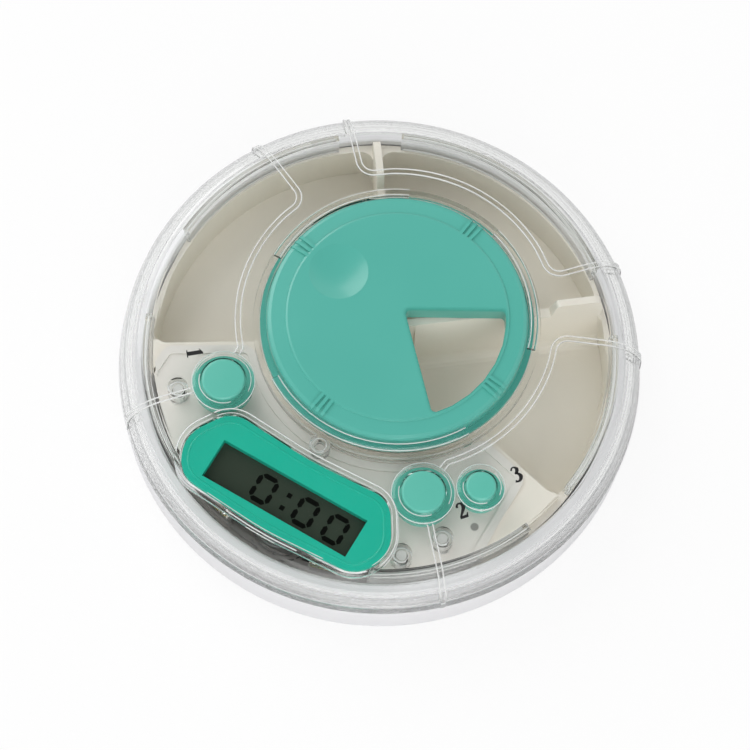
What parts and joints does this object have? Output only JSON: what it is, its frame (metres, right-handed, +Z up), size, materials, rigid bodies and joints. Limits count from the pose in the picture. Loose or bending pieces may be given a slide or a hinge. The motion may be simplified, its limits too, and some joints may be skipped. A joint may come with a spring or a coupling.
{
  "type": "round pill dispenser with timer",
  "caption": "Round desktop pill box with a clear lid, a hand-turned selector dial with a pie-shaped window, and a timer with a display and push buttons.",
  "frame": {"origin": "middle of the underside, on the surface that the box stands on", "axes": "+Z up, -Y towards the display, +X to the right as seen from the display's side; the dial's axis is vertical at y = +5.5 mm"},
  "size_m": [0.092, 0.092, 0.0209],
  "materials": {
    "case_white": "moulded polypropylene, satin",
    "tray_cream": "moulded polypropylene, satin",
    "clear_plastic": "clear polystyrene, polished",
    "teal_plastic": "moulded ABS, satin",
    "teal_bezel": "moulded ABS, satin",
    "display_glass": "dark reflective display",
    "strip_rubber": "layered conductive rubber",
    "dome_rubber": "translucent silicone",
    "carbon_rubber": "carbon-filled silicone",
    "module_white": "moulded, fine texture",
    "board_green": "solder mask over laminate",
    "black_plastic": "moulded",
    "steel": "nickel-plated",
    "brass": "plain"
  },
  "bodies": {
    "base": {"base_shell": "case_white", "compartment_tray": "tray_cream"},
    "lid": {"clear_cover": "clear_plastic", "dial_retaining_ring": "module_white", "display_bezel": "teal_bezel", "lcd_glass": "display_glass", "lcd_connector_strips": "strip_rubber", "button_domes": "dome_rubber", "module_plate": "module_white", "circuit_board": "board_green", "controller_chip": "black_plastic", "quartz_crystal": "steel", "piezo_buzzer": "brass", "button_cell": "steel", "cell_holder": "black_plastic", "cell_contact_top": "steel", "cell_contact_side": "steel", "module_back": "module_white", "module_screws": "steel"},
    "dial": {"selector_dial": "teal_plastic"},
    "left_button": {"button_cap_left": "teal_plastic", "contact_puck_left": "carbon_rubber"},
    "right_button": {"button_cap_right": "teal_plastic", "contact_puck_right": "carbon_rubber"},
    "small_button": {"button_cap_small": "teal_plastic", "contact_puck_small": "carbon_rubber"},
    "cell_door": {"battery_door": "module_white", "battery_door_seal": "carbon_rubber"}
  },
  "joints": [
    {"name": "lid_lift", "type": "slide", "parent": "base", "child": "lid", "axis": [0, 0, 1], "range_m": [0, 0.03]},
    {"name": "dial_turn", "type": "hinge", "parent": "lid", "child": "dial", "pos_m": [0, 0.0055, 0.0187], "axis": [0, 0, 1], "continuous": true},
    {"name": "left_button_press", "type": "slide", "parent": "lid", "child": "left_button", "axis": [0, 0, -1], "range_m": [0, 0.0008], "stiffness_N_per_m": 800, "springref_m": -0.0005},
    {"name": "right_button_press", "type": "slide", "parent": "lid", "child": "right_button", "axis": [0, 0, -1], "range_m": [0, 0.0008], "stiffness_N_per_m": 800, "springref_m": -0.0005},
    {"name": "small_button_press", "type": "slide", "parent": "lid", "child": "small_button", "axis": [0, 0, -1], "range_m": [0, 0.0008], "stiffness_N_per_m": 800, "springref_m": -0.0005},
    {"name": "cell_door_turn", "type": "hinge", "parent": "lid", "child": "cell_door", "pos_m": [0.0004, -0.0332, 0.0045], "axis": [0, 0, -1], "range_deg": [0, 40]}
  ]
}
